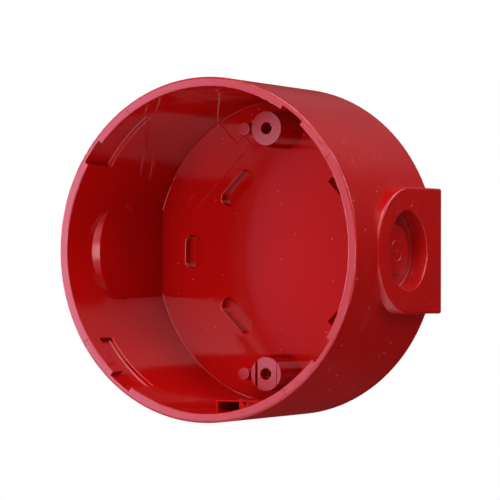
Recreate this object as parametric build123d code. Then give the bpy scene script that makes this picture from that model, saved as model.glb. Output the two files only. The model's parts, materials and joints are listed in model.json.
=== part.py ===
from build123d import *
import os
from math import cos, hypot, pi, radians, sin, sqrt, tan

# Deep surface-mounting base of a fire alarm sounder: one round moulding, open at the
# front, that screws to a wall. The sounder's head turns into its four bayonet entries.
# Origin: centre of the back face. +Y goes into the wall, the open mouth faces -Y,
# +Z is up, and the two side cable entries are on +X and -X.
# Angles in the ring are in degrees from +X towards +Z. Lengths are in millimetres.

# --- driving sizes: the round shell
mouth_diameter = 93.0
base_depth = 47.7
outer_draft = 1.5
mouth_wall = 2.58
inner_draft = 1.8
floor_thickness = 3.1
mouth_edge_radius = 0.5
back_edge_radius = 0.6
floor_corner_radius = 0.25

# --- bayonet entries in the mouth
bayonet_count = 4
bayonet_first_angle = 53.3
notch_width_angle = 9.4
track_angle = 24.9
skin_thickness = 1.28
lip_thickness = 5.0
track_floor_depth = 11.3
track_corner_radius = 0.5
track_edge_radius = 0.25
seam_width = 0.2
seam_depth = 0.15

# --- side cable entries and their bosses
entry_height = 18.8
boss_half_width = 17.04
boss_edge_radius = 0.7
boss_face_inset = 0.05
entry_radius = 10.8
entry_recess_depth = 4.7
entry_shoulder = 0.5
entry_step = 0.2
entry_button_gap = 0.1
entry_edge_radius = 0.3
pad_thickness = 5.8
pad_draft = 1.22
pad_slope = 13.0
pad_rim = 0.7
boss_root = 0.6
blank_gap = 0.1
blank_button_radius = 6.7
blank_button_height = 1.1
drill_ring_radius = 3.06
drill_mark_radius = 0.35

# --- screw pillars and the stop pins beside them
pillar_radius = 4.65
pillar_height = 12.0
pillar_wall_inset = 8.7
pilot_mouth_radius = 1.7
pilot_mouth_length = 4.0
pilot_core_radius = 1.3
pilot_depth = 11.0
fin_width = 1.0
fin_height = 0.65
fin_run = 2.5
pin_radius = 1.8
pin_offset = 7.1
pin_edge_radius = 0.2
pillar_slot_offset = 2.96
pillar_slot_width = 0.76
pillar_slot_depth = 6.0
pillar_step = 0.2

# --- fixing slots and rear entries, closed at the back by break-out blanks
blank_thickness = 0.8
slot_mouth_radius = 0.3
side_slot_pitch = 61.2
side_slot_length = 9.6
side_slot_width = 4.8
corner_slot_x = 16.3
corner_slot_z = 17.8
corner_slot_length = 12.2
corner_slot_width = 4.4
corner_slot_angle = 45.0
rear_entry_inner = 22.7
rear_entry_radial = 6.4
rear_entry_length = 9.2
rear_entry_angle = 45.0

# --- cored ledge at the bottom of the mouth
ledge_front_depth = 12.6
ledge_left = -4.0
ledge_right = 13.5
ledge_drop = 3.4
ledge_plate = 0.45
core_half_width = 3.35
core_length = 14.0
ledge_step = 1.2
brace_rise = 0.8

# --- outline of the mould insert left on the floor
insert_angle = 135.0
insert_inner_inset = 13.0
insert_step_inset = 9.6
insert_half_width = 13.1
insert_neck_half_width = 9.9
hairline_width = 0.2
hairline_depth = 0.1
insert_line_width = 0.5
insert_line_depth = 0.07

# --- how far a cutting shape runs past the face it opens
overcut = 1.0

# --- worked out from the driving sizes
mouth_radius = mouth_diameter / 2
back_radius = mouth_radius - base_depth * tan(radians(outer_draft))
mouth_inner_radius = mouth_radius - mouth_wall
floor_depth = base_depth - floor_thickness
floor_radius = mouth_inner_radius - floor_depth * tan(radians(inner_draft))
boss_face = mouth_radius - boss_face_inset
entry_shoulder_x = boss_face - entry_recess_depth
entry_step_x = entry_shoulder_x + blank_button_height + entry_button_gap
pad_radius = boss_half_width - pad_rim
skin_slope = tan(radians((outer_draft + inner_draft) / 2))
pillar_z = floor_radius - pillar_wall_inset
pillar_top = -floor_thickness - pillar_height
ring_axis = Axis((0, 0, 0), (0, -1, 0))


def ring_sector(radius_front, radius_back, inside, y_front, y_back, start, width):
    """Solid between a small inner radius and a drafted outer one, over part of the ring."""
    profile = make_face(Polyline(
        (inside, y_front), (radius_front, y_front), (radius_back, y_back), (inside, y_back),
        close=True,
    ))
    return revolve(profile, ring_axis, width).rotate(ring_axis, start)


def on_wall_side(outline, height_from_back, amount):
    """Extrude a floor outline towards the mouth, starting at a height above the back face."""
    return extrude(Plane.XZ.offset(height_from_back) * outline, amount)


def arch_prism(radius, x_from, x_to, growth=0):
    """Half-round arch with straight legs down to the back face, run along X.

    Its sides spread by the growth angle as it goes.
    """
    side = Plane(origin=(x_from, 0, 0), x_dir=(0, 1, 0), z_dir=(1, 0, 0))
    leg = Pos(-entry_height / 2, 0) * Rectangle(entry_height, 2 * radius)
    outline = Pos(-entry_height, 0) * Circle(radius) + leg
    return extrude(side * outline, x_to - x_from, taper=-growth)


def x_cylinder(radius, x_from, x_to):
    """Cylinder on the axis of the side cable entry."""
    turned = Pos((x_from + x_to) / 2, -entry_height, 0) * Rot(0, 90, 0)
    return turned * Cylinder(radius, x_to - x_from)


def y_cylinder(radius, x, z, y_from, y_to):
    """Cylinder along Y."""
    turned = Pos(x, (y_from + y_to) / 2, z) * Rot(90, 0, 0)
    return turned * Cylinder(radius, abs(y_to - y_from))


def block(x_range, y_range, z_range):
    """Box from its six limits."""
    size = [high - low for low, high in (x_range, y_range, z_range)]
    middle = [(high + low) / 2 for low, high in (x_range, y_range, z_range)]
    return Pos(*middle) * Box(*size)


def shell():
    """The round cup with its floor, drafted both ways, with its edges rounded."""
    corners = [
        (0, 0), (back_radius, 0), (mouth_radius, -base_depth), (mouth_inner_radius, -base_depth),
        (floor_radius, -floor_thickness), (0, -floor_thickness),
    ]
    profile = make_face(Polyline(*corners, close=True))
    rounds = [(corners[1], back_edge_radius), (corners[2], mouth_edge_radius),
              (corners[3], mouth_edge_radius / 2), (corners[4], floor_corner_radius)]
    for corner, radius in rounds:
        vertex = profile.vertices().sort_by_distance((*corner, 0))[0]
        profile = fillet(vertex, radius)
    return revolve(profile, Axis.Y)


def pad_side():
    """Everything on +X outside the drafted face of the flat pad inside the wall."""
    face_at_floor = boss_face - pad_thickness
    face_at_mouth = face_at_floor + floor_depth * tan(radians(pad_draft))
    outline = make_face(Polyline(
        (face_at_mouth, -base_depth), (mouth_radius, -base_depth), (mouth_radius, 0),
        (face_at_floor, 0), (face_at_floor, -floor_thickness), close=True,
    ))
    return extrude(outline, boss_half_width * 2, both=True)


def entry_mouth_edges(boss):
    """The round edge where the entry's recess opens in the boss's face."""
    round_length = 2 * pi * entry_radius
    return [edge for edge in boss.edges()
            if abs(edge.length - round_length) < entry_step
            and abs(edge.center().X - boss_face) < entry_step]


def side_boss():
    """Arched boss outside the wall, with its exposed edges rounded, and the pad inside."""
    boss = arch_prism(boss_half_width, boss_face - 3 * pad_thickness, boss_face)
    outer_face = boss.faces().sort_by(Axis.X)[-1]
    exposed = [edge for edge in outer_face.edges() if edge.center().Y < -0.01]
    boss = fillet(exposed, boss_edge_radius)
    boss -= x_cylinder(entry_radius, entry_step_x, boss_face + overcut)
    boss = fillet(entry_mouth_edges(boss), entry_edge_radius)
    outside = boss - ring_cone(boss_root)
    pad = arch_prism(pad_radius, boss_face - pad_thickness, boss_face, pad_slope)
    return outside + (pad & pad_side() & ring_cone(mouth_wall / 2))


def ring_cone(inset):
    """Solid cone a little inside the outer surface, for trimming what reaches it."""
    return ring_sector(mouth_radius - inset, back_radius - inset, 0, -base_depth, 0, 0, 360)


def cavity_cone():
    """Solid cone that fills the inside of the cup above its floor."""
    return ring_sector(mouth_inner_radius, floor_radius, 0, -base_depth, -floor_thickness, 0, 360)


def side_entry():
    """Stepped round recess with a shoulder, and the smaller hole through the pad behind it."""
    recess = x_cylinder(entry_radius, entry_step_x, boss_face + overcut)
    recess += x_cylinder(entry_radius - entry_step, entry_shoulder_x, boss_face)
    through = x_cylinder(entry_radius - entry_shoulder, mouth_radius / 2, boss_face)
    return recess + through


def entry_blank():
    """Break-out blank of a side entry: thin ring, thick button, scribed drill mark."""
    ring = x_cylinder(entry_radius - entry_shoulder - blank_gap, mouth_radius / 2, entry_shoulder_x)
    button_top = entry_shoulder_x + blank_button_height
    button = x_cylinder(blank_button_radius, mouth_radius / 2, button_top)
    blank = (ring + button) & pad_side()
    cut_from = button_top - hairline_depth
    scribe = x_cylinder(drill_ring_radius, cut_from, button_top + overcut)
    scribe -= x_cylinder(drill_ring_radius - hairline_width, cut_from, button_top + overcut)
    dimple = x_cylinder(drill_mark_radius, cut_from, button_top + overcut)
    return blank - scribe - dimple


def track_cut(y_front, radius_front, start, width):
    """Cut from a height down to the track floor, whose outer corner and inner edge are round."""
    floor_y = track_floor_depth - base_depth
    skin_floor = mouth_radius - skin_thickness - track_floor_depth * skin_slope
    wall_floor = mouth_inner_radius - track_floor_depth * tan(radians(inner_draft))
    below = floor_y + 2 * track_edge_radius
    inside = mouth_inner_radius / 2
    profile = make_face(Polyline(
        (inside, y_front), (radius_front, y_front), (skin_floor, floor_y),
        (wall_floor, floor_y), (wall_floor, below), (inside, below), close=True,
    ))
    for corner, radius in (((skin_floor, floor_y), track_corner_radius),
                           ((wall_floor, floor_y), track_edge_radius)):
        vertex = profile.vertices().sort_by_distance((*corner, 0))[0]
        profile = fillet(vertex, radius)
    return revolve(profile, ring_axis, width).rotate(ring_axis, start)


def bayonet_cuts():
    """Entry notches in the mouth, the tracks under its lip, and the seams beside them."""
    skin_front = mouth_radius - skin_thickness
    inside = mouth_inner_radius / 2
    lip_y = lip_thickness - base_depth
    cuts = []
    for index in range(bayonet_count):
        middle = bayonet_first_angle + index * 360 / bayonet_count
        start = middle - notch_width_angle / 2
        end = middle + notch_width_angle / 2
        skin_lip = skin_front - lip_thickness * skin_slope
        cuts.append(track_cut(-base_depth - overcut, skin_front + overcut * skin_slope,
                              start, notch_width_angle))
        cuts.append(track_cut(lip_y, skin_lip, end - track_angle, track_angle))
        seam = block((inside, mouth_radius + overcut), (-base_depth - overcut, -base_depth + seam_depth),
                     (-seam_width / 2, seam_width / 2))
        cuts.append(seam.rotate(ring_axis, end - track_angle))
    return cuts


def pillar(side, slotted):
    """Screw pillar with its fin and pilot hole; one of the two also has a slot and a step."""
    z = side * pillar_z
    foot = -floor_thickness + hairline_depth
    body = y_cylinder(pillar_radius, 0, z, pillar_top, foot)
    inside, edge = z - side * pillar_radius / 2, z - side * pillar_radius
    profile = make_face(Polyline(
        (pillar_top, inside), (pillar_top, edge), (pillar_top + fin_run, edge - side * fin_height),
        (foot, edge - side * fin_height), (foot, inside), close=True,
    ))
    body += extrude(Plane.YZ * profile, fin_width / 2, both=True)
    z_all = (z - 2 * pillar_radius, z + 2 * pillar_radius)
    if slotted:
        half_slot = pillar_slot_width / 2
        slot_x = (-pillar_slot_offset - half_slot, -pillar_slot_offset + half_slot)
        step_x = (pillar_slot_offset + half_slot, pillar_radius * 2)
        body -= block(slot_x, (pillar_top - overcut, pillar_top + pillar_slot_depth), z_all)
        body -= block(step_x, (pillar_top - overcut, pillar_top + pillar_step), z_all)
    return body


def pilot_hole(side):
    """Stepped blind hole down a screw pillar."""
    z = side * pillar_z
    hole = y_cylinder(pilot_mouth_radius, 0, z, pillar_top - overcut, pillar_top + pilot_mouth_length)
    return hole + y_cylinder(pilot_core_radius, 0, z, pillar_top, pillar_top + pilot_depth)


def stop_pin(side):
    """Plain pin that stands beside a screw pillar."""
    foot = -floor_thickness + hairline_depth
    pin = y_cylinder(pin_radius, -pin_offset, side * pillar_z, pillar_top, foot)
    tip = pin.edges().sort_by(Axis.Y)[0]
    return fillet(tip, pin_edge_radius)


def slot_outline(x, z, angle, length, width):
    """Round-ended slot on the floor, its length turned by an angle from +X towards +Z."""
    return Pos(x, z) * Rot(0, 0, angle) * SlotOverall(length, width)


def slot_outlines():
    """Name and outline of each fixing slot."""
    half_pitch = side_slot_pitch / 2
    corner = (corner_slot_length, corner_slot_width)
    side = (side_slot_length, side_slot_width)
    return {
        "slot_blank_left": slot_outline(-half_pitch, 0, 90, *side),
        "slot_blank_right": slot_outline(half_pitch, 0, 90, *side),
        "slot_blank_upper": slot_outline(-corner_slot_x, corner_slot_z, corner_slot_angle, *corner),
        "slot_blank_lower": slot_outline(-corner_slot_x, -corner_slot_z, -corner_slot_angle, *corner),
    }


def rear_outlines():
    """Name and outline of each square-cornered rear entry."""
    middle = rear_entry_inner + rear_entry_radial / 2
    outlines = {}
    for name, sign in (("rear_blank_upper", 1), ("rear_blank_lower", -1)):
        outline = Pos(middle, 0) * Rectangle(rear_entry_radial, rear_entry_length)
        outlines[name] = Rot(0, 0, sign * rear_entry_angle) * outline
    return outlines


def slot_mouths(base):
    """The edges where the fixing slots open in the floor."""
    centres = [outline.center() for outline in slot_outlines().values()]
    reach = corner_slot_length / 2 + slot_mouth_radius
    return [edge for edge in base.edges()
            if abs(edge.center().Y + floor_thickness) < hairline_depth / 2
            and any(hypot(edge.center().X - centre.X, edge.center().Z - centre.Y) < reach
                    for centre in centres)]


def bottom_ledge():
    """Ledge at the bottom of the wall, cored out from the front, with a diagonal brace."""
    front = ledge_front_depth - base_depth
    top = -mouth_inner_radius + ledge_drop
    below = (-mouth_radius, top - ledge_plate)
    behind = front + ledge_step
    ledge = block((ledge_left, ledge_right), (front, -floor_thickness / 2), (-mouth_radius, top))
    ledge &= ring_cone(mouth_wall / 2)
    inside = cavity_cone()
    core_x = (-core_half_width, core_half_width)
    core = block(core_x, (front - overcut, front + core_length), below) & inside
    brace_start = core_half_width + brace_rise
    brace_end = brace_start + ledge_drop + mouth_wall
    corner = make_face(Polyline(
        (brace_start, below[1]), (ledge_right + overcut, below[1]),
        (ledge_right + overcut, below[1] - ledge_drop - mouth_wall),
        (brace_end, below[1] - ledge_drop - mouth_wall), close=True,
    ))
    set_back = on_wall_side(corner, -behind, ledge_step + overcut) & inside
    return ledge - core - set_back


def insert_line(start, end):
    """Shallow V-shaped groove in the floor between two points in X and Z."""
    along = Vector(end[0] - start[0], 0, end[1] - start[1]).normalized()
    middle = Vector((start[0] + end[0]) / 2, -floor_thickness, (start[1] + end[1]) / 2)
    across = Plane(origin=middle, x_dir=Vector(0, 1, 0), z_dir=along)
    half, depth = insert_line_width / 2, insert_line_depth
    outline = make_face(Polyline((-depth, -2 * half), (depth, 0), (-depth, 2 * half), close=True))
    length = hypot(end[0] - start[0], end[1] - start[1]) + insert_line_width
    return extrude(across * outline, length / 2, both=True)


def insert_outline():
    """Stepped outline of the mould insert under the upper left bayonet entry."""
    inner = floor_radius - insert_inner_inset
    step = floor_radius - insert_step_inset
    reach = sqrt(floor_radius ** 2 - insert_neck_half_width ** 2) - floor_corner_radius
    half = insert_half_width
    neck = insert_neck_half_width
    path = [(reach, -neck), (step, -neck), (step, -half), (inner, -half),
            (inner, half), (step, half), (step, neck), (reach, neck)]
    turn = radians(insert_angle)
    placed = [(u * cos(turn) + t * sin(turn), u * sin(turn) - t * cos(turn)) for u, t in path]
    return [insert_line(start, end) for start, end in zip(placed, placed[1:])]


def mounting_base():
    """The whole base moulding."""
    right = side_boss()
    base = shell() + right + mirror(right, Plane.YZ) + bottom_ledge()
    base += pillar(1, False) + pillar(-1, True) + stop_pin(1) + stop_pin(-1)
    for outline in slot_outlines().values():
        base -= on_wall_side(outline, -overcut, floor_thickness + 2 * overcut)
    base = fillet(slot_mouths(base), slot_mouth_radius)
    entry = side_entry()
    cuts = [entry, mirror(entry, Plane.YZ), pilot_hole(1), pilot_hole(-1)]
    for outline in rear_outlines().values():
        cuts.append(on_wall_side(outline, -overcut, floor_thickness + 2 * overcut))
    cuts += bayonet_cuts()
    cuts += insert_outline()
    for cut in cuts:
        base -= cut
    return base


def floor_blanks():
    """Thin break-out blanks that close the slots and rear entries at the back face."""
    outlines = {**slot_outlines(), **rear_outlines()}
    return {name: on_wall_side(offset(outline, -blank_gap, kind=Kind.INTERSECTION), 0,
                               blank_thickness)
            for name, outline in outlines.items()}


os.makedirs("parts", exist_ok=True)
blank = entry_blank()
pieces = {
    "mounting_base": mounting_base(),
    "entry_blank_right": blank,
    "entry_blank_left": mirror(blank, Plane.YZ),
    **floor_blanks(),
}
for name, piece in pieces.items():
    export_step(piece, f"parts/{name}.step")
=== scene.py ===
import json
import math

import bpy
from bpy.props import FloatProperty, FloatVectorProperty, IntProperty, PointerProperty
from bpy.types import Operator, Panel, PropertyGroup
from mathutils import Matrix, Vector

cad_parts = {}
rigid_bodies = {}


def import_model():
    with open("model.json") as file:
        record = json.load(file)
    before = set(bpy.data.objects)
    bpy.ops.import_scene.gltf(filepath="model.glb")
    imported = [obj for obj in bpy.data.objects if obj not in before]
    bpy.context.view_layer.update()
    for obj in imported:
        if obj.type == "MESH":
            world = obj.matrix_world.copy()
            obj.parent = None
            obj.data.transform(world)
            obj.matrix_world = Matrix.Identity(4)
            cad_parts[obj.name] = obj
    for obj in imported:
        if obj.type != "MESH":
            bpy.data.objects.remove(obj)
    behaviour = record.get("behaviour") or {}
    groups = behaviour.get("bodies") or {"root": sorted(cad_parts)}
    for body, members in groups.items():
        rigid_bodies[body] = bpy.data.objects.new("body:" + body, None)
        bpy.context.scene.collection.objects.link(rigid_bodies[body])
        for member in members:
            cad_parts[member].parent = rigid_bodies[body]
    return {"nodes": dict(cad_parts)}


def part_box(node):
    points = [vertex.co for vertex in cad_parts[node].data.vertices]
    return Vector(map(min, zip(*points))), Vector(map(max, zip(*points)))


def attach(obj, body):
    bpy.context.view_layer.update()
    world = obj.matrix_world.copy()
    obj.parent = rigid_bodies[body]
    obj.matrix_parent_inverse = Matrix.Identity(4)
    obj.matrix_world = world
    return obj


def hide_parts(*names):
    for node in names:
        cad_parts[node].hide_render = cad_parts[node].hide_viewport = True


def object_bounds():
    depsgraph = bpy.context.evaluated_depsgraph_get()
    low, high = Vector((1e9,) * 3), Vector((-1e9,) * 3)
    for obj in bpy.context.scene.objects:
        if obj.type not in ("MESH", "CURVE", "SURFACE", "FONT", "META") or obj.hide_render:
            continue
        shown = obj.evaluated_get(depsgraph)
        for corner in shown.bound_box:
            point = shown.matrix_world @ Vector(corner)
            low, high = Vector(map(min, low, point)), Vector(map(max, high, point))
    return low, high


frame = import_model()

bl_info = {
    "name": "Alarm Sounder Base",
    "version": (1, 0, 0),
    "blender": (4, 5, 0),
    "location": "3D View > Sidebar > Sounder Base",
    "description": "Finishes the red mounting base of an alarm sounder and sets up its studio",
    "category": "Object",
}

MM = 0.001
CAD_BOX = [list(corner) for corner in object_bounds()]
BASE = "mounting_base"
SMOOTH_ANGLE = math.radians(35)
# A face looks along an axis when its normal's part along it is over this
LOOKS_ALONG = 0.9
ABS_IOR = 1.54
OUTER_DRAFT = math.radians(1.5)

# Blanks of the floor, and how far each opening is turned round the depth axis, in degrees
FLOOR_BLANKS = {
    "slot_blank_left": 0, "slot_blank_right": 0,
    "slot_blank_upper": 45, "slot_blank_lower": -45,
    "rear_blank_upper": -45, "rear_blank_lower": 45,
}

# Places where a mask rises from 0 to 1 on the base and on its blanks alike
PAST_PADS = (41.4 * MM, 41.6 * MM)
AT_WALL_PLANE = (-0.2 * MM, -0.05 * MM)

# Camera back in millimetres, and what it sees in metres
SENSOR_WIDTH = 36.0
CLIP_RANGE = (0.05, 20.0)

# Studio panels: name, azimuth and elevation in degrees, power in watts.
# Azimuth 0 is in front of the mouth and 90 is at the right-hand cable entry.
PANELS = (
    ("front_panel", 0, 0, 9.4),
    ("front_low_panel", 0, -35, 2.6),
    ("front_high_panel", 15, 30, 5.7),
    ("front_top_panel", 0, 60, 4.1),
    ("right_top_panel", 45, 60, 10.6),
    ("right_high_panel", 60, 30, 3.6),
    ("right_low_panel", 60, -35, 2.7),
    ("rear_right_panel", 120, 30, 8.5),
    ("left_panel", -90, 0, 27.0),
    ("haze_panel", -27, 0, 0.12),
    ("rear_left_panel", -150, 30, 0.3),
    ("rear_panel", 180, 0, 0.3),
    ("rear_high_panel", 180, 30, 0.3),
)


# ---------------------------------------------------------------- small helpers

def linear(hex_colour):
    """Turn an sRGB hex colour such as 'C4161C' into the linear RGBA that shaders take."""
    channels = [int(hex_colour[i:i + 2], 16) / 255 for i in (0, 2, 4)]
    toned = [c / 12.92 if c <= 0.04045 else ((c + 0.055) / 1.055) ** 2.4 for c in channels]
    return (*toned, 1.0)


def add_node(tree, kind, inputs=(), **settings):
    """Add one shader node, set its attributes, and fill its inputs by name or in order.

    An input takes a plain value, a socket to link, or a node whose first output is linked.
    """
    node = tree.nodes.new("ShaderNode" + kind)
    for key, value in settings.items():
        setattr(node, key, value)
    for key, value in inputs.items() if isinstance(inputs, dict) else enumerate(inputs):
        if isinstance(value, bpy.types.Node):
            value = next(socket for socket in value.outputs if socket.enabled)
        if isinstance(value, bpy.types.NodeSocket):
            tree.links.new(value, node.inputs[key])
        else:
            node.inputs[key].default_value = value
    return node


def deselect():
    """Leave nothing selected, so that an operator acts only on what comes next."""
    for obj in bpy.context.view_layer.objects:
        obj.select_set(False)


def activate(obj):
    """Make one object the only selected and active one."""
    deselect()
    obj.select_set(True)
    bpy.context.view_layer.objects.active = obj


def finish_piece(obj, name, material):
    """Name a modelled piece, put its place into its mesh and give it its material."""
    activate(obj)
    bpy.ops.object.transform_apply(location=True, rotation=True, scale=True)
    obj.name = name
    obj.data.name = name
    obj.data.materials.clear()
    obj.data.materials.append(material)
    bpy.ops.object.shade_smooth_by_angle(angle=SMOOTH_ANGLE)


def pick(obj, kind, test):
    """In edit mode, select only the faces or edges that pass a test on their place."""
    bpy.ops.mesh.select_mode(type=kind)
    bpy.ops.mesh.select_all(action="DESELECT")
    bpy.ops.object.mode_set(mode="OBJECT")
    mesh = obj.data
    if kind == "FACE":
        for face in mesh.polygons:
            face.select = test(face.center, face.normal)
    else:
        for edge in mesh.edges:
            edge.select = test(*(mesh.vertices[i].co for i in edge.vertices))
    bpy.ops.object.mode_set(mode="EDIT")


# ---------------------------------------------------------------- materials

def new_material(name):
    """Make an empty node material and return it with its tree and shader."""
    material = bpy.data.materials.new(name)
    material.use_nodes = True
    tree = material.node_tree
    tree.nodes.clear()
    shader = add_node(tree, "BsdfPrincipled")
    add_node(tree, "OutputMaterial", {"Surface": shader})
    return material, tree, shader


def pigment(tree, place, finish):
    """Cloudy tone of the red pigment."""
    cloud = add_node(tree, "TexNoise",
                     {"Vector": place, "Scale": 1 / finish.cloud_size, "Detail": 3.0})
    return add_node(tree, "Mix", {"Factor": cloud, "A": (*finish.deep_red, 1.0),
                                  "B": (*finish.red, 1.0)}, data_type="RGBA")


def dust(tree, place, spacing, share, size):
    """Mask of round specks: a share of the cells hold one, its size a part of the spacing."""
    cells = add_node(tree, "TexVoronoi", {"Vector": place, "Scale": 1 / spacing})
    speck = add_node(tree, "MapRange", (cells.outputs["Distance"], size, size / 2),
                     interpolation_type="SMOOTHSTEP")
    draw = add_node(tree, "SeparateColor", {"Color": cells.outputs["Color"]})
    rare = add_node(tree, "Math", (draw.outputs["Red"], share), operation="LESS_THAN")
    return add_node(tree, "Math", (speck, rare), operation="MULTIPLY")


def red_abs_moulding(finish):
    """Signal red ABS, injection moulded: the cavity is polished, the outside wall satin."""
    # a dense opaque plastic: an even deep red under a clear gloss where the mould was polished
    material, tree, shader = new_material("moulded red ABS")
    shader.inputs["IOR"].default_value = ABS_IOR
    place = add_node(tree, "TexCoord").outputs["Object"]
    x, y, z = add_node(tree, "SeparateXYZ", (place,)).outputs
    normal = add_node(tree, "NewGeometry").outputs["Normal"]
    facing = add_node(tree, "SeparateXYZ", (normal,)).outputs["Y"]
    mouth = CAD_BOX[0][1]

    # measures: distance from the axis, how far that is past the drafted outer wall, distance
    # from the pillars' tops, from the middle plane and from the entries' axis
    flat = add_node(tree, "CombineXYZ", {"X": x, "Z": z})
    radius = add_node(tree, "VectorMath", (flat,), operation="LENGTH").outputs["Value"]
    wall = add_node(tree, "MapRange",
                    (y, mouth, 0.0, finish.mouth_radius, finish.back_radius))
    proud = add_node(tree, "Math", (radius, wall), operation="SUBTRACT")
    over_top = add_node(tree, "Math", (y, finish.pillar_top), operation="ADD")
    off_top = add_node(tree, "Math", (over_top,), operation="ABSOLUTE")
    sideways = add_node(tree, "Math", (x,), operation="ABSOLUTE")
    over_entry = add_node(tree, "Math", (y, finish.entry_height), operation="ADD")
    from_entry = add_node(tree, "CombineXYZ", {"Y": over_entry, "Z": z})
    off_axis = add_node(tree, "VectorMath", (from_entry,), operation="LENGTH").outputs["Value"]
    # place within a quarter turn, from 0 to 1, because the mouth is the same four times over
    angle = add_node(tree, "Math", (z, x), operation="ARCTAN2")
    turns = add_node(tree, "Math", (angle, 2 / math.pi, 4.0), operation="MULTIPLY_ADD")
    quarter = add_node(tree, "Math", (turns,), operation="FRACT")

    # streaks that run round the axis, where heads and cloths have rubbed, and their patches
    way_round = {}
    for axis, measure, times in (("X", radius, 1 / finish.streak_size), ("Y", quarter, 10.0),
                                 ("Z", y, 1 / finish.streak_size)):
        way_round[axis] = add_node(tree, "Math", (measure, times), operation="MULTIPLY")
    streak = add_node(tree, "TexNoise", {"Vector": add_node(tree, "CombineXYZ", way_round),
                                         "Scale": 1.0, "Detail": 3.0})
    patch = add_node(tree, "TexNoise", {"Vector": place, "Scale": 1 / finish.patch_size,
                                        "Detail": 1.0})

    # each mask rises smoothly from 0 to 1 between two values of its measure; Y is 0 at the
    # wall plane and falls towards the mouth
    lip_start, lip_end, lip_fade = finish.lip_start / 90, finish.lip_end / 90, 0.004
    edges = {
        "outside": (proud, -0.9 * MM, -0.3 * MM),
        "land": (y, mouth + 0.25 * MM, mouth + 0.05 * MM),
        "at_pillar_top": (off_top, 0.3 * MM, 0.2 * MM),
        "faces_mouth": (facing, -0.5, -0.8),
        "faces_mouth_squarely": (facing, -0.8, -0.95),
        "on_pads": (sideways, 38.5 * MM, 39.5 * MM),
        "over_entries": (y, -20.0 * MM, -21.0 * MM),
        "at_floor": (y, -4.0 * MM, -3.5 * MM),
        "after_lip_start": (quarter, lip_start, lip_start + lip_fade),
        "before_lip_end": (quarter, lip_end, lip_end - lip_fade),
        "in_entry": (off_axis, 11.4 * MM, 11.2 * MM),
        "past_pads": (sideways, *PAST_PADS),
        "back": (y, *AT_WALL_PLANE),
        "streaky": (streak, 0.56, 0.72),
        "patchy": (patch, 0.5, 0.65),
    }
    mask = {name: add_node(tree, "MapRange", edge, interpolation_type="SMOOTHSTEP")
            for name, edge in edges.items()}
    # where several masks hold at once
    for name, parts in {
            "tops": ("at_pillar_top", "faces_mouth_squarely"),
            "pad_tops": ("faces_mouth", "on_pads", "over_entries"),
            "floor": ("faces_mouth", "at_floor"),
            "lips": ("land", "after_lip_start", "before_lip_end"),
            "entries": ("in_entry", "past_pads"),
            "scuffs": ("outside", "streaky", "patchy")}.items():
        both = mask[parts[0]]
        for part in parts[1:]:
            both = add_node(tree, "Math", (both, mask[part]), operation="MULTIPLY")
        mask[name] = both
    matt = add_node(tree, "Math", (mask["land"], mask["tops"]), operation="MAXIMUM")

    # colour: clouded pigment, then scuffs and dust, then the dull land; the open wall gathers
    # more dust than the cavity does
    fine_specks = dust(tree, place, finish.fine_dust, share=0.25, size=0.11)
    coarse_specks = dust(tree, place, finish.coarse_dust, share=0.5, size=0.05)
    specks = add_node(tree, "Math", (fine_specks, coarse_specks), operation="MAXIMUM")
    gathered = add_node(tree, "MapRange", {"Value": mask["outside"],
                                           "To Min": finish.dust_inside,
                                           "To Max": finish.dust_outside})
    dusty = add_node(tree, "Math", (specks, gathered), operation="MULTIPLY")
    scuffed = add_node(tree, "Math", (mask["scuffs"], finish.scuffing), operation="MULTIPLY")
    marks = add_node(tree, "Math", (scuffed, dusty), operation="MAXIMUM")
    colour = pigment(tree, place, finish)
    for zone, red in ((marks, finish.scuffed_red), (matt, finish.land_red)):
        colour = add_node(tree, "Mix", {"Factor": zone, "A": colour, "B": (*red, 1.0)},
                          data_type="RGBA")
    tree.links.new(colour.outputs["Result"], shader.inputs["Base Color"])

    # roughness: from polished to satin by zone, then the matt land, its rubbed lips, the back
    satin = 0.0
    for name, share in (("outside", 1.0), ("entries", 1.0), ("pad_tops", finish.pad_top_satin),
                        ("floor", finish.floor_satin)):
        part = add_node(tree, "Math", (mask[name], share), operation="MULTIPLY")
        satin = add_node(tree, "Math", (satin, part), operation="MAXIMUM")
    rough = add_node(tree, "Math", (satin, finish.outside_roughness - finish.inside_roughness,
                                    finish.inside_roughness), operation="MULTIPLY_ADD")
    rubbed = add_node(tree, "MapRange", {
        "Value": streak, "From Min": 0.35, "From Max": 0.65,
        "To Min": finish.lip_roughness - 0.06, "To Max": finish.lip_roughness + 0.08})
    for zone, level in ((matt, finish.land_roughness), (mask["lips"], rubbed),
                        (mask["back"], finish.back_roughness)):
        rough = add_node(tree, "Mix", {"Factor": zone, "A": rough, "B": level},
                         data_type="FLOAT")
    tree.links.new(rough.outputs["Result"], shader.inputs["Roughness"])

    # relief: slow ripple of the polished wall, and faint grain where it is satin or matt
    ripple = add_node(tree, "TexNoise", {"Vector": place, "Scale": 1 / finish.ripple_size,
                                         "Detail": 0.0})
    waved = add_node(tree, "Bump", {"Height": ripple, "Strength": 0.3,
                                    "Distance": finish.ripple_height})
    grain = add_node(tree, "TexNoise", {"Vector": place, "Scale": 1 / finish.grain_size,
                                        "Detail": 2.0})
    grained = add_node(tree, "Math", (satin, matt), operation="MAXIMUM")
    relief = add_node(tree, "Math", (grain, grained), operation="MULTIPLY")
    fine = add_node(tree, "Bump", {"Height": relief, "Strength": 0.15, "Normal": waved,
                                   "Distance": finish.grain_height})
    tree.links.new(fine.outputs["Normal"], shader.inputs["Normal"])
    return material


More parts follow.
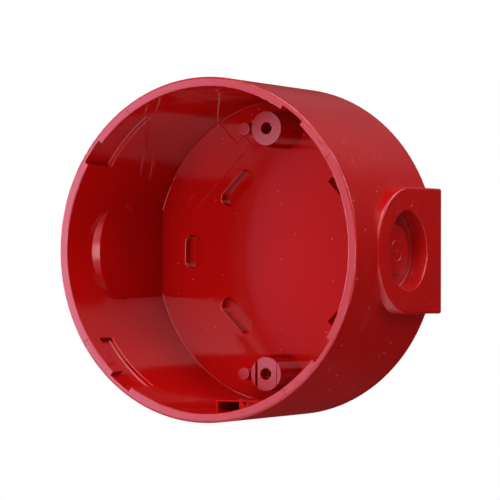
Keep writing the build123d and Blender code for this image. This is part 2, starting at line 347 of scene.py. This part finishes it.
def red_abs_web(finish):
    """The same red ABS where it is a break-out web, shaped by the same mould."""
    # as glossy as the cavity where it closes the floor, and duller where it closes an entry
    material, tree, shader = new_material("red ABS web")
    shader.inputs["IOR"].default_value = ABS_IOR
    place = add_node(tree, "TexCoord").outputs["Object"]
    x, y, z = add_node(tree, "SeparateXYZ", (place,)).outputs
    tree.links.new(pigment(tree, place, finish).outputs["Result"], shader.inputs["Base Color"])

    # roughness: polished, then the sunk ring of an entry, its button's face, the back
    sideways = add_node(tree, "Math", (x,), operation="ABSOLUTE")
    rough = finish.inside_roughness
    for edge, level in (
            ((sideways, *PAST_PADS), finish.ring_roughness),
            ((sideways, finish.web_face - 0.2 * MM, finish.web_face), finish.outside_roughness),
            ((y, *AT_WALL_PLANE), finish.back_roughness)):
        zone = add_node(tree, "MapRange", edge, interpolation_type="SMOOTHSTEP")
        rough = add_node(tree, "Mix", {"Factor": zone, "A": rough, "B": level},
                         data_type="FLOAT")
    tree.links.new(rough.outputs["Result"], shader.inputs["Roughness"])
    return material


def studio_board(studio):
    """Matt painted board of the studio floor."""
    # hardly any gloss and a faint paper grain, so that it takes soft shade
    material, tree, shader = new_material("matt studio floor")
    shader.inputs["Roughness"].default_value = 0.9
    place = add_node(tree, "TexCoord").outputs["Object"]
    paper = add_node(tree, "TexNoise", {"Vector": place, "Scale": 1 / studio.floor_grain})
    tone = add_node(tree, "Mix", {"Factor": paper, "A": (*studio.floor_colour, 1.0),
                                  "B": linear("FAFAF9")}, data_type="RGBA")
    tree.links.new(tone.outputs["Result"], shader.inputs["Base Color"])
    return material


# ---------------------------------------------------------------- settings

class SounderFinish(PropertyGroup):
    """Colours and surface finish of the moulding."""

    red: FloatVectorProperty(
        name="Red", description="Colour of the red ABS where it is densest",
        subtype="COLOR", min=0, max=1, default=linear("BE0E0C")[:3])
    deep_red: FloatVectorProperty(
        name="Deep red", description="Colour of the red ABS in its darker clouds",
        subtype="COLOR", min=0, max=1, default=linear("A60807")[:3])
    scuffed_red: FloatVectorProperty(
        name="Scuffed red", description="Colour of dust specks and fine nicks",
        subtype="COLOR", min=0, max=1, default=linear("E2A6A6")[:3])
    land_red: FloatVectorProperty(
        name="Land red", description="Colour of the matt land round the mouth",
        subtype="COLOR", min=0, max=1, default=linear("A41416")[:3])
    inside_roughness: FloatProperty(
        name="Inside roughness", description="Roughness of the polished cavity",
        subtype="FACTOR", min=0, max=1, default=0.07)
    outside_roughness: FloatProperty(
        name="Outside roughness", description="Roughness of the satin outside wall",
        subtype="FACTOR", min=0, max=1, default=0.28)
    land_roughness: FloatProperty(
        name="Land roughness", description="Roughness of the land round the mouth",
        subtype="FACTOR", min=0, max=1, default=0.27)
    back_roughness: FloatProperty(
        name="Back roughness", description="Roughness of the face that stands on the wall",
        subtype="FACTOR", min=0, max=1, default=0.1)
    lip_roughness: FloatProperty(
        name="Lip roughness", description="Roughness of the four rubbed bayonet lips",
        subtype="FACTOR", min=0, max=1, default=0.3)
    ring_roughness: FloatProperty(
        name="Ring roughness", description="Roughness of the thin ring of an entry blank",
        subtype="FACTOR", min=0, max=1, default=0.4)
    pad_top_satin: FloatProperty(
        name="Pad top satin", description="How far the pads' tops are from polished to satin",
        subtype="FACTOR", min=0, max=1, default=0.8)
    floor_satin: FloatProperty(
        name="Floor satin", description="How far the floor is from polished to satin",
        subtype="FACTOR", min=0, max=1, default=0.17)
    scuffing: FloatProperty(
        name="Scuffing", description="Strength of the rubbed streaks on the outside wall",
        subtype="FACTOR", min=0, max=1, default=0.1)
    dust_inside: FloatProperty(
        name="Dust inside", description="Strength of the dust specks in the cavity",
        subtype="FACTOR", min=0, max=1, default=0.25)
    dust_outside: FloatProperty(
        name="Dust outside", description="Strength of the dust specks on the outside wall",
        subtype="FACTOR", min=0, max=1, default=0.8)
    cloud_size: FloatProperty(
        name="Cloud size", description="Width of a cloud in the pigment",
        unit="LENGTH", default=25 * MM)
    ripple_size: FloatProperty(
        name="Ripple size", description="Width of a ripple of the polished wall",
        unit="LENGTH", default=10 * MM)
    ripple_height: FloatProperty(
        name="Ripple height", description="Height of a ripple of the polished wall",
        unit="LENGTH", default=0.02 * MM)
    grain_size: FloatProperty(
        name="Grain size", description="Width of the satin wall's grain",
        unit="LENGTH", default=0.625 * MM)
    grain_height: FloatProperty(
        name="Grain height", description="Height of the satin wall's grain",
        unit="LENGTH", default=0.01 * MM)
    streak_size: FloatProperty(
        name="Streak size", description="Spacing of the streaks that run round the axis",
        unit="LENGTH", default=0.6667 * MM)
    patch_size: FloatProperty(
        name="Patch size", description="Width of a patch that heads and cloths have rubbed",
        unit="LENGTH", default=22.22 * MM)
    fine_dust: FloatProperty(
        name="Fine dust", description="Spacing of the cells that may hold a small speck",
        unit="LENGTH", default=2.381 * MM)
    coarse_dust: FloatProperty(
        name="Coarse dust", description="Spacing of the cells that may hold a larger speck",
        unit="LENGTH", default=6.25 * MM)
    lip_start: FloatProperty(
        name="Lip start", description="Where a bayonet lip starts in each quarter, in degrees",
        default=33.1)
    lip_end: FloatProperty(
        name="Lip end", description="Where a bayonet lip ends in each quarter, in degrees",
        default=48.6)
    pillar_top: FloatProperty(
        name="Pillar top", description="Height of the pillars over the wall plane",
        unit="LENGTH", default=15.1 * MM)
    entry_height: FloatProperty(
        name="Entry height", description="Height of the side entries over the wall plane",
        unit="LENGTH", default=18.8 * MM)
    web_face: FloatProperty(
        name="Web face", description="Where the satin top of an entry blank's button lies",
        unit="LENGTH", default=42.8 * MM)
    mouth_radius: FloatProperty(
        name="Mouth radius", description="Outer radius at the open mouth",
        unit="LENGTH", default=CAD_BOX[1][2])
    back_radius: FloatProperty(
        name="Back radius", description="Outer radius at the wall",
        unit="LENGTH", default=CAD_BOX[1][2] + CAD_BOX[0][1] * math.tan(OUTER_DRAFT))


class SounderBlanks(PropertyGroup):
    """Sizes of the break-out blanks that the CAD boxes don't give by themselves."""

    web_gap: FloatProperty(
        name="Web gap", description="How far a web reaches over the CAD gap round it",
        unit="LENGTH", default=0.09 * MM)
    slope_width: FloatProperty(
        name="Slope width", description="Width of the small slopes on an entry blank",
        unit="LENGTH", default=0.18 * MM)
    slope_depth: FloatProperty(
        name="Slope depth", description="Depth of the small slopes on an entry blank",
        unit="LENGTH", default=0.14 * MM)
    mark_radius: FloatProperty(
        name="Mark radius", description="Radius of the drill mark in the button's middle",
        unit="LENGTH", default=0.35 * MM)
    button_radius: FloatProperty(
        name="Button radius", description="Radius of the thick button of an entry blank",
        unit="LENGTH", default=6.7 * MM)
    button_height: FloatProperty(
        name="Button height", description="Height of the button over its thin ring",
        unit="LENGTH", default=1.1 * MM)
    ring_radius: FloatProperty(
        name="Drill ring radius", description="Radius of the ring scribed on the button",
        unit="LENGTH", default=3.06 * MM)
    pad_draft: FloatProperty(
        name="Pad draft", description="Draft of the inner pad that a blank is flush with",
        subtype="ANGLE", default=math.radians(1.22))
    corner_width: FloatProperty(
        name="Corner slot width", description="Width of the slots at 45 degrees",
        unit="LENGTH", default=4.4 * MM)
    blank_gap: FloatProperty(
        name="Blank gap", description="Gap between a CAD blank and the edge of its opening",
        unit="LENGTH", default=0.1 * MM)
    rear_width: FloatProperty(
        name="Rear entry width", description="Radial size of the square-cornered rear entries",
        unit="LENGTH", default=6.4 * MM)
    field_inset: FloatProperty(
        name="Field inset", description="How far the sunk field of a floor web is set in",
        unit="LENGTH", default=0.55 * MM)
    field_depth: FloatProperty(
        name="Field depth", description="Depth of the sunk field of a floor web",
        unit="LENGTH", default=0.12 * MM)
    end_segments: IntProperty(
        name="End segments", description="Segments of a quarter of a slot's round end",
        min=4, default=12)
    segments: IntProperty(
        name="Segments", description="Segments round an entry blank", min=24, default=96)


class SounderStudio(PropertyGroup):
    """Camera, lights and floor."""

    azimuth: FloatProperty(
        name="Azimuth", description="Camera angle round Z, 0 looks along +Y",
        subtype="ANGLE", default=math.radians(30.379))
    elevation: FloatProperty(
        name="Elevation", description="Camera angle above the horizon",
        subtype="ANGLE", default=math.radians(-0.648))
    roll: FloatProperty(
        name="Roll", description="Camera turn about its own axis",
        subtype="ANGLE", default=math.radians(0.125))
    distance: FloatProperty(
        name="Distance", description="Camera distance from the wall plane's centre",
        unit="LENGTH", default=1133.3 * MM)
    slide_right: FloatProperty(
        name="Slide right", description="How far the camera stands to the right",
        unit="LENGTH", default=-12.02 * MM)
    slide_up: FloatProperty(
        name="Slide up", description="How far the camera stands above",
        unit="LENGTH", default=0.479 * MM)
    lens: FloatProperty(
        name="Lens", description="Focal length in millimetres on a 36 mm sensor",
        min=10, max=500, default=293.1)
    panel_size: FloatProperty(
        name="Panel size", description="Side of each square soft panel",
        unit="LENGTH", default=700 * MM)
    panel_distance: FloatProperty(
        name="Panel distance", description="Distance of the panels from the part",
        unit="LENGTH", default=1500 * MM)
    panel_colour: FloatVectorProperty(
        name="Panel colour", description="Colour of the soft panels, a little cool",
        subtype="COLOR", min=0, max=1, default=(0.98, 0.9, 1.0))
    strip_width: FloatProperty(
        name="Strip width", description="Width of the narrow panel at the front left",
        unit="LENGTH", default=250 * MM)
    strip_power: FloatProperty(
        name="Strip power", description="Power of the narrow panel in watts",
        min=0, default=8.0)
    strip_colour: FloatVectorProperty(
        name="Strip colour", description="Colour of the narrow panel, like a window's daylight",
        subtype="COLOR", min=0, max=1, default=(0.78, 0.65, 0.93))
    strip_azimuth: FloatProperty(
        name="Strip azimuth", description="Angle of the narrow panel round Z from the mouth",
        subtype="ANGLE", default=math.radians(-39.5))
    floor_drop: FloatProperty(
        name="Floor drop", description="How far the floor lies below the part's centre",
        unit="LENGTH", default=1150 * MM)
    floor_colour: FloatVectorProperty(
        name="Floor colour", description="Colour of the pale studio floor",
        subtype="COLOR", min=0, max=1, default=linear("F2F2F0")[:3])
    floor_radius: FloatProperty(
        name="Floor radius", description="Radius of the round studio floor",
        unit="LENGTH", default=1200 * MM)
    floor_grain: FloatProperty(
        name="Floor grain", description="Width of the grain of the floor's board",
        unit="LENGTH", default=1.667 * MM)
    surround_low: FloatProperty(
        name="Surround low", description="Brightness of the surround below the horizon",
        min=0, default=0.012)
    surround_high: FloatProperty(
        name="Surround high", description="Brightness of the surround above the horizon",
        min=0, default=0.013)


# ---------------------------------------------------------------- operators

class SOUNDER_OT_base(Operator):
    """Give the base moulding its satin, polished and matt red ABS finish"""

    bl_idname = "sounder.base"
    bl_label = "Finish the base"

    def execute(self, context):
        finish = context.scene.sounder_finish
        frame["nodes"][BASE].data.materials[0] = red_abs_moulding(finish)
        return {"FINISHED"}


class SOUNDER_OT_entry_blanks(Operator):
    """Model the break-out blank of a side cable entry and its mirrored copy"""

    bl_idname = "sounder.entry_blanks"
    bl_label = "Model the entry blanks"

    def execute(self, context):
        sizes = context.scene.sounder_blanks
        low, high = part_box("entry_blank_right")
        centre = (low + high) / 2
        ring = (high.z - low.z) / 2 + sizes.web_gap
        ring_face = high.x - sizes.button_height
        web = red_abs_web(context.scene.sounder_finish)

        # start: a plain disc on the entry's axis, with some length to spare inside
        spare, hair = 1.0 * MM, 0.002 * MM
        back = low.x - spare
        deselect()
        bpy.ops.mesh.primitive_cylinder_add(
            vertices=sizes.segments, radius=ring, depth=ring_face - back,
            end_fill_type="NGON", location=((ring_face + back) / 2, centre.y, centre.z),
            rotation=(0, math.radians(90), 0))
        blank = bpy.context.object
        activate(blank)
        bpy.ops.object.transform_apply(location=True, rotation=True, scale=True)

        def outer_cap(place, normal):
            off_middle = math.hypot(place.y - centre.y, place.z - centre.z)
            return normal.x > LOOKS_ALONG and off_middle < sizes.button_radius

        bpy.ops.object.mode_set(mode="EDIT")
        # the button stands on the thin ring
        pick(blank, "FACE", outer_cap)
        slope, drop = sizes.slope_width, sizes.slope_depth
        bpy.ops.mesh.inset(thickness=slope, depth=-drop)
        bpy.ops.mesh.inset(thickness=ring - slope - sizes.button_radius)
        bpy.ops.mesh.extrude_region_move(
            TRANSFORM_OT_translate={"value": (sizes.button_height + drop - slope, 0, 0)})
        bpy.ops.mesh.inset(thickness=slope, depth=slope)
        # the scribed ring round the drill mark, then the mark itself
        bpy.ops.mesh.inset(thickness=sizes.button_radius - slope - sizes.ring_radius)
        bpy.ops.mesh.inset(thickness=slope, depth=-drop)
        bpy.ops.mesh.inset(thickness=slope, depth=drop)
        bpy.ops.mesh.inset(thickness=sizes.ring_radius - 2 * slope - sizes.mark_radius)
        bpy.ops.mesh.inset(thickness=sizes.mark_radius / 2, depth=-drop)
        # the inner end follows the drafted pad, a hair off it
        draft = sizes.pad_draft
        pad = Vector((low.x + ring * math.tan(draft) + hair, centre.y, centre.z))
        bpy.ops.mesh.select_all(action="SELECT")
        bpy.ops.mesh.bisect(plane_co=pad, plane_no=(-math.cos(draft), -math.sin(draft), 0),
                            use_fill=True, clear_outer=True)
        bpy.ops.object.mode_set(mode="OBJECT")
        finish_piece(blank, "entry_web_right", web)

        bpy.ops.object.duplicate()
        copy = bpy.context.object
        copy.scale = (-1, 1, 1)
        activate(copy)
        bpy.ops.object.transform_apply(location=True, rotation=True, scale=True)
        bpy.ops.object.mode_set(mode="EDIT")
        bpy.ops.mesh.select_all(action="SELECT")
        bpy.ops.mesh.normals_make_consistent(inside=False)
        bpy.ops.object.mode_set(mode="OBJECT")
        finish_piece(copy, "entry_web_left", web)

        for piece, node in ((blank, "entry_blank_right"), (copy, "entry_blank_left")):
            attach(piece, node)
            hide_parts(node)
        return {"FINISHED"}


class SOUNDER_OT_floor_webs(Operator):
    """Model the thin break-out webs that close the slots and rear entries"""

    bl_idname = "sounder.floor_webs"
    bl_label = "Model the floor webs"

    def execute(self, context):
        sizes = context.scene.sounder_blanks
        web = red_abs_web(context.scene.sounder_finish)
        for node, turn in FLOOR_BLANKS.items():
            low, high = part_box(node)
            span, rear = high.x - low.x, node.startswith("rear")
            # a box round a turned opening gives its length once its width is known
            if rear:
                width = sizes.rear_width - 2 * sizes.blank_gap
                length = span * math.sqrt(2) - width
            elif turn:
                width = sizes.corner_width - 2 * sizes.blank_gap
                length = (span - width) * math.sqrt(2) + width
            else:
                width, length = span, high.z - low.z
            piece = self.web(sizes, (width, high.y - low.y, length), not rear)
            piece.location = (low + high) / 2
            piece.rotation_euler = (0, math.radians(turn), 0)
            finish_piece(piece, node.replace("blank", "web"), web)
            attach(piece, node)
            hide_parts(node)
        return {"FINISHED"}

    def web(self, sizes, size, round_ended):
        """One web with its shallow sunk field, reaching over the gap round its CAD blank."""
        width, thickness, length = size
        width, length = width + 2 * sizes.web_gap, length + 2 * sizes.web_gap
        deselect()
        bpy.ops.mesh.primitive_cube_add(size=1.0, location=(0, 0, 0))
        piece = bpy.context.object
        piece.scale = (width, thickness, length)
        activate(piece)
        bpy.ops.object.transform_apply(location=True, rotation=True, scale=True)
        bpy.ops.object.mode_set(mode="EDIT")
        if round_ended:
            # just short of half the width, so that the arcs of an end don't meet
            round_radius = 0.998 * width / 2
            pick(piece, "EDGE", lambda a, b: abs(a.y - b.y) > thickness / 2)
            bpy.ops.mesh.bevel(offset=round_radius, segments=sizes.end_segments,
                               affect="EDGES")
        pick(piece, "FACE", lambda place, normal: normal.y < -LOOKS_ALONG)
        bpy.ops.mesh.inset(thickness=sizes.field_inset)
        bpy.ops.mesh.extrude_region_move(
            TRANSFORM_OT_translate={"value": (0, sizes.field_depth, 0)})
        bpy.ops.object.mode_set(mode="OBJECT")
        return piece


class SOUNDER_OT_stage(Operator):
    """Set up the pale floor, the soft studio lights and the camera"""

    bl_idname = "sounder.stage"
    bl_label = "Set up the studio"

    def execute(self, context):
        studio = context.scene.sounder_studio
        self.floor(studio)
        self.lights(studio)
        self.world(context, studio)
        self.camera(context, studio)
        return {"FINISHED"}

    def floor(self, studio):
        """A round pale floor that the object's light and shade fall on."""
        deselect()
        bpy.ops.mesh.primitive_circle_add(vertices=96, radius=studio.floor_radius,
                                          fill_type="NGON",
                                          location=(0, 0, -studio.floor_drop))
        floor = bpy.context.object
        finish_piece(floor, "studio_floor", studio_board(studio))

    def lights(self, studio):
        """Soft square panels round the part, and a narrow one that its pads' tops mirror."""
        for name, azimuth, elevation, power in PANELS:
            self.panel(studio, name, math.radians(azimuth), math.radians(elevation), power,
                       studio.panel_size, studio.panel_colour)
        self.panel(studio, "ledge_strip", studio.strip_azimuth, 0, studio.strip_power,
                   studio.strip_width, studio.strip_colour)

    def panel(self, studio, name, az, el, power, width, colour):
        """One soft panel that faces the part from an azimuth and an elevation."""
        back = Vector((math.sin(az) * math.cos(el), -math.cos(az) * math.cos(el), math.sin(el)))
        deselect()
        bpy.ops.object.light_add(type="AREA", location=back * studio.panel_distance)
        light = bpy.context.object
        light.name = name
        light.location.y += (CAD_BOX[0][1] + CAD_BOX[1][1]) / 2
        light.rotation_euler = (-back).to_track_quat("-Z", "Y").to_euler()
        light.data.shape = "RECTANGLE"
        light.data.size = width
        light.data.size_y = studio.panel_size
        light.data.energy = power
        light.data.color = colour

    def world(self, context, studio):
        """A surround that is white where it is seen and dim where it lights the part."""
        world = bpy.data.worlds.new("studio")
        context.scene.world = world
        world.use_nodes = True
        tree = world.node_tree
        tree.nodes.clear()
        way = add_node(tree, "TexCoord").outputs["Generated"]
        height = add_node(tree, "SeparateXYZ", (way,)).outputs["Z"]
        # the light rises softly from well below the horizon to well above it
        lift = add_node(tree, "MapRange", (height, -0.6, 0.8, studio.surround_low,
                                           studio.surround_high),
                        interpolation_type="SMOOTHSTEP")
        seen = add_node(tree, "LightPath").outputs["Is Camera Ray"]
        level = add_node(tree, "Mix", {"Factor": seen, "A": lift, "B": 1.0},
                         data_type="FLOAT")
        glow = add_node(tree, "Background", {"Color": (1, 1, 1, 1), "Strength": level})
        add_node(tree, "OutputWorld", {"Surface": glow})
        context.scene.view_settings.view_transform = "Standard"

    def camera(self, context, studio):
        """A long lens that looks into the mouth from the right, level with the part."""
        az, el, roll = studio.azimuth, studio.elevation, studio.roll
        back = Vector((math.sin(az) * math.cos(el), -math.cos(az) * math.cos(el), math.sin(el)))
        right = Vector((math.cos(az), math.sin(az), 0))
        up = back.cross(right)
        turn = Matrix.Rotation(roll, 3, back)
        right, up = turn @ right, turn @ up
        deselect()
        bpy.ops.object.camera_add()
        camera = bpy.context.object
        camera.name = "studio_camera"
        axes = Matrix((right, up, back)).transposed().to_4x4()
        place = back * studio.distance + right * studio.slide_right + up * studio.slide_up
        camera.matrix_world = Matrix.Translation(place) @ axes
        camera.data.lens = studio.lens
        camera.data.sensor_width = SENSOR_WIDTH
        camera.data.clip_start, camera.data.clip_end = CLIP_RANGE
        context.scene.camera = camera


class SOUNDER_PT_panel(Panel):
    """Sizes, colours and steps of the sounder base"""

    bl_idname = "SOUNDER_PT_panel"
    bl_label = "Sounder base"
    bl_space_type = "VIEW_3D"
    bl_region_type = "UI"
    bl_category = "Sounder Base"

    def draw(self, context):
        scene = context.scene
        for group in (scene.sounder_finish, scene.sounder_blanks, scene.sounder_studio):
            box = self.layout.box()
            for name in group.__annotations__:
                box.prop(group, name)
        for operator in STEPS:
            self.layout.operator(operator.bl_idname)


STEPS = (SOUNDER_OT_base, SOUNDER_OT_entry_blanks, SOUNDER_OT_floor_webs, SOUNDER_OT_stage)
GROUPS = {"sounder_finish": SounderFinish, "sounder_blanks": SounderBlanks,
          "sounder_studio": SounderStudio}
CLASSES = (*GROUPS.values(), *STEPS, SOUNDER_PT_panel)


def register():
    """Register the classes and hang the groups of settings on the scene."""
    for cls in CLASSES:
        bpy.utils.register_class(cls)
    for name, group in GROUPS.items():
        setattr(bpy.types.Scene, name, PointerProperty(type=group))


def unregister():
    """Take the groups of settings off the scene and the classes out again."""
    for name in GROUPS:
        delattr(bpy.types.Scene, name)
    for cls in reversed(CLASSES):
        bpy.utils.unregister_class(cls)


def main():
    """Register the classes and run every step in order."""
    register()
    bpy.ops.sounder.base()
    bpy.ops.sounder.entry_blanks()
    bpy.ops.sounder.floor_webs()
    bpy.ops.sounder.stage()


if __name__ == "__main__":
    main()
